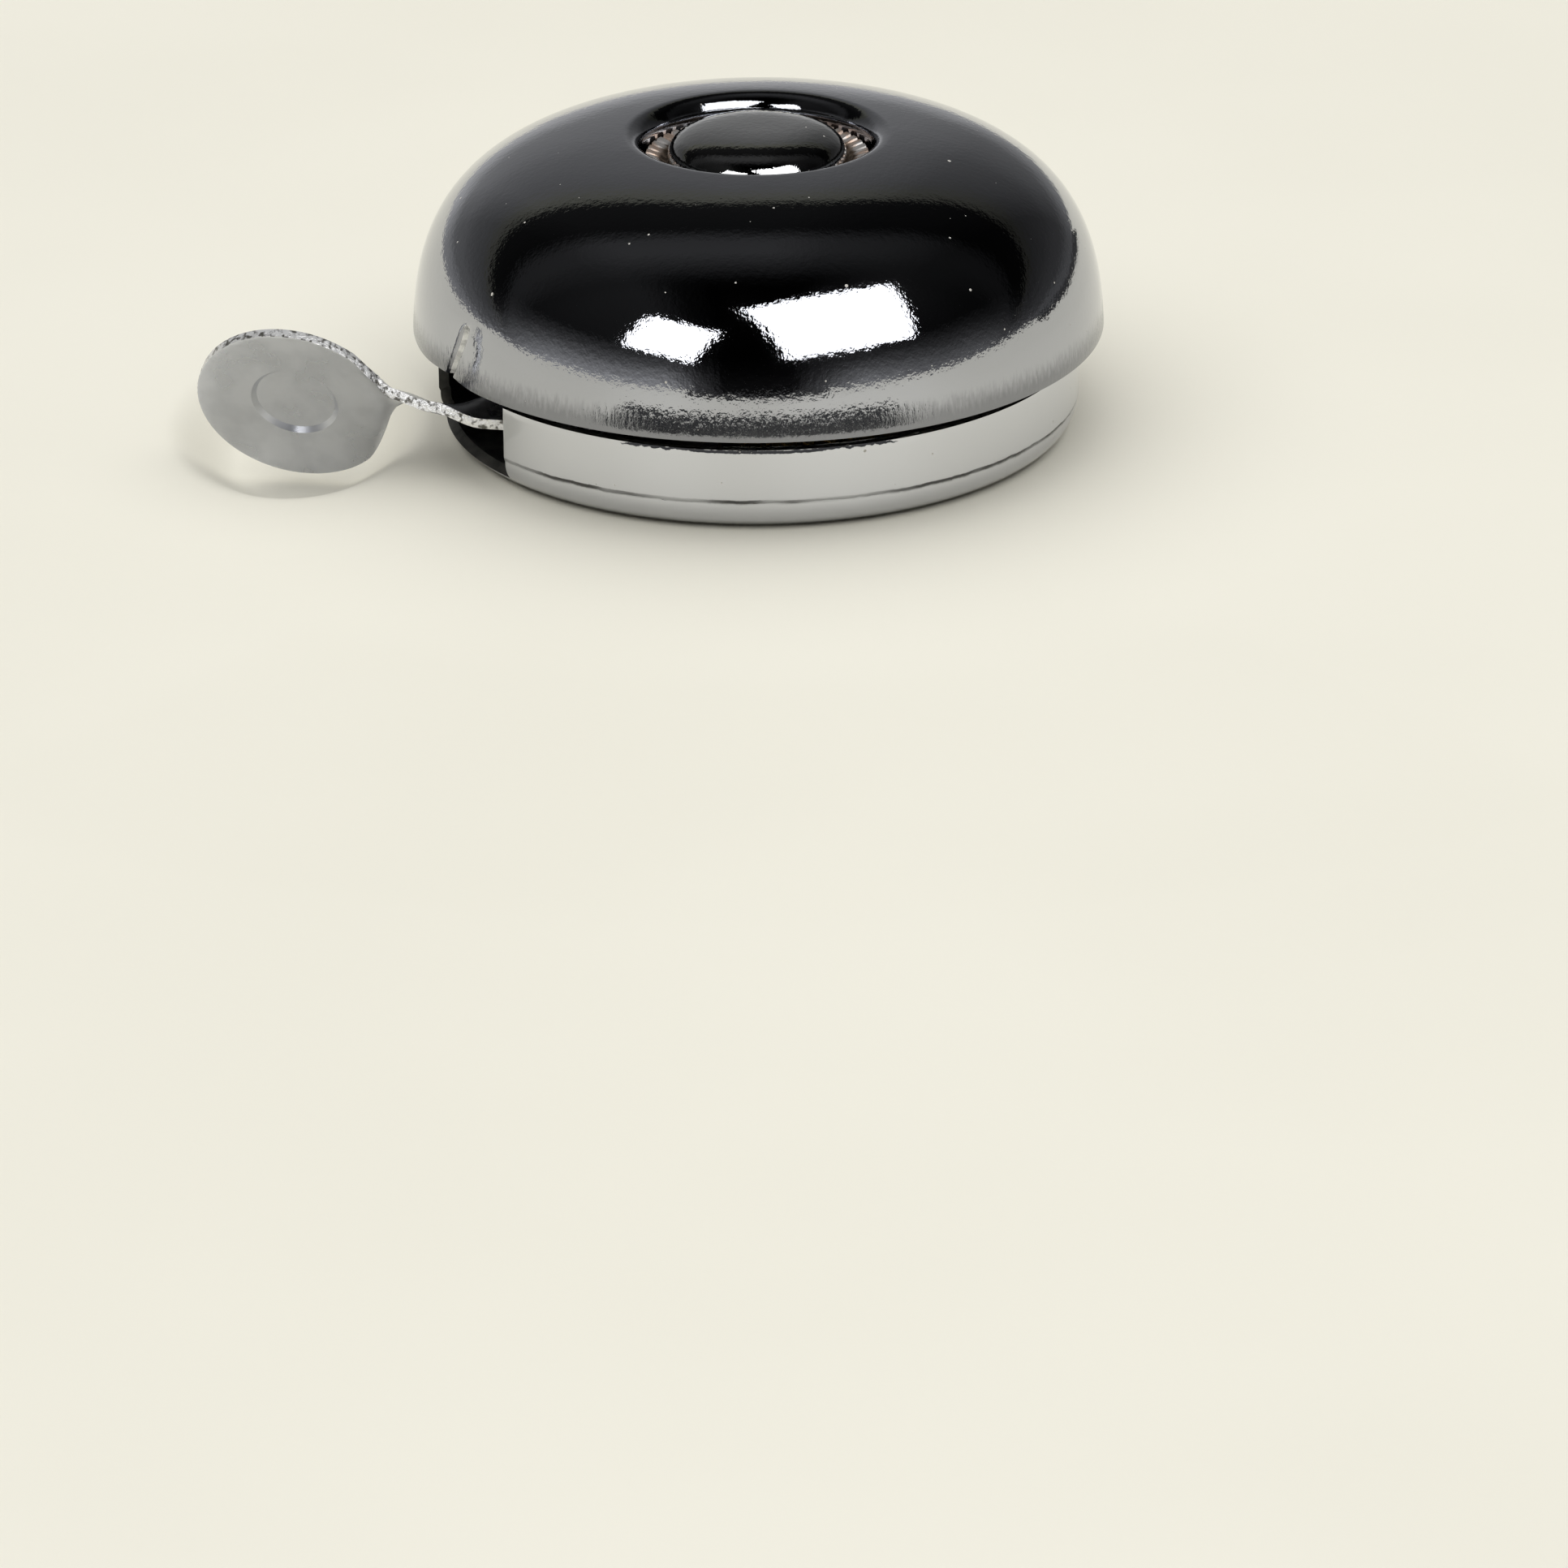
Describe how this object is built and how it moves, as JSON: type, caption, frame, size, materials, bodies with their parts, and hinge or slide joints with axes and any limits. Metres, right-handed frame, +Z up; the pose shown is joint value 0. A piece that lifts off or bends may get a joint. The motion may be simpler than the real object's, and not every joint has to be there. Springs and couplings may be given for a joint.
{
  "type": "bicycle bell",
  "caption": "Domed thumb-lever bicycle bell on a handlebar band clamp; a geared rotor throws loose hammers against two dents in the dome.",
  "frame": {"origin": "on the handlebar's axis, straight below the bell's own axis", "axes": "+X along the handlebar, away from the thumb lever; +Y away from the rider; +Z up along the bell's axis"},
  "size_m": [0.0786, 0.0602, 0.065],
  "materials": {
    "chrome": "mirror polished chrome plate",
    "satin_chrome": "satin chrome plate with bright worn edges",
    "zinc_steel": "bright zinc plate",
    "tarnished_steel": "dull plate with brown tarnish between the teeth",
    "brass": "stamped brass, lightly oiled",
    "dark_steel": "oiled dark steel"
  },
  "bodies": {
    "root": {"clamp_band": "zinc_steel", "clamp_screw": "zinc_steel", "clamp_washer": "zinc_steel", "clamp_nut": "zinc_steel", "clamp_rivet_front": "zinc_steel", "clamp_rivet_rear": "zinc_steel", "base_cup": "chrome", "centre_post": "zinc_steel", "rotor_thrust_washer": "brass", "rotor_keeper_washer": "brass", "dome_sleeve": "zinc_steel", "dome_washer": "zinc_steel", "dome": "chrome", "serrated_washer": "tarnished_steel", "cap_nut": "chrome", "spring_anchor_pin": "zinc_steel", "lever_pivot_pin": "zinc_steel", "lever_washer": "zinc_steel", "lever_return_spring": "dark_steel", "idler_pin": "zinc_steel", "idler_clip": "dark_steel"},
    "lever": {"thumb_lever": "satin_chrome"},
    "idler": {"idler_pinion": "brass", "idler_gear": "brass"},
    "rotor": {"rotor_pinion": "brass", "rotor_bar": "zinc_steel", "hammer_pin_1": "zinc_steel", "hammer_pin_2": "zinc_steel"},
    "hammer_1": {"hammer_1": "dark_steel"},
    "hammer_2": {"hammer_2": "dark_steel"}
  },
  "joints": [
    {"name": "lever_swing", "type": "hinge", "parent": "root", "child": "lever", "pos_m": [-0.0125, -0.0085, 0.018], "axis": [0, 0, -1], "range_deg": [0, 24], "stiffness_Nm_per_rad": 0.03, "springref_deg": -17.19, "deforming": ["lever_return_spring"]},
    {"name": "idler_spin", "type": "hinge", "parent": "root", "child": "idler", "pos_m": [0.00245, -0.01419, 0.0193], "axis": [0, 0, -1], "range_deg": [-72, 0]},
    {"name": "rotor_spin", "type": "hinge", "parent": "root", "child": "rotor", "pos_m": [0, 0, 0.0206], "axis": [0, 0, -1], "range_deg": [0, 216]},
    {"name": "hammer_1_slide", "type": "slide", "parent": "rotor", "child": "hammer_1", "axis": [0.3746, -0.9272, 0], "range_m": [-0.0013, 0.0013]},
    {"name": "hammer_2_slide", "type": "slide", "parent": "rotor", "child": "hammer_2", "axis": [-0.3746, 0.9272, 0], "range_m": [-0.0013, 0.0013]}
  ],
  "couplings": [
    {"joint": "idler_spin", "follows": "lever_swing", "ratio": -3},
    {"joint": "rotor_spin", "follows": "lever_swing", "ratio": 9}
  ]
}
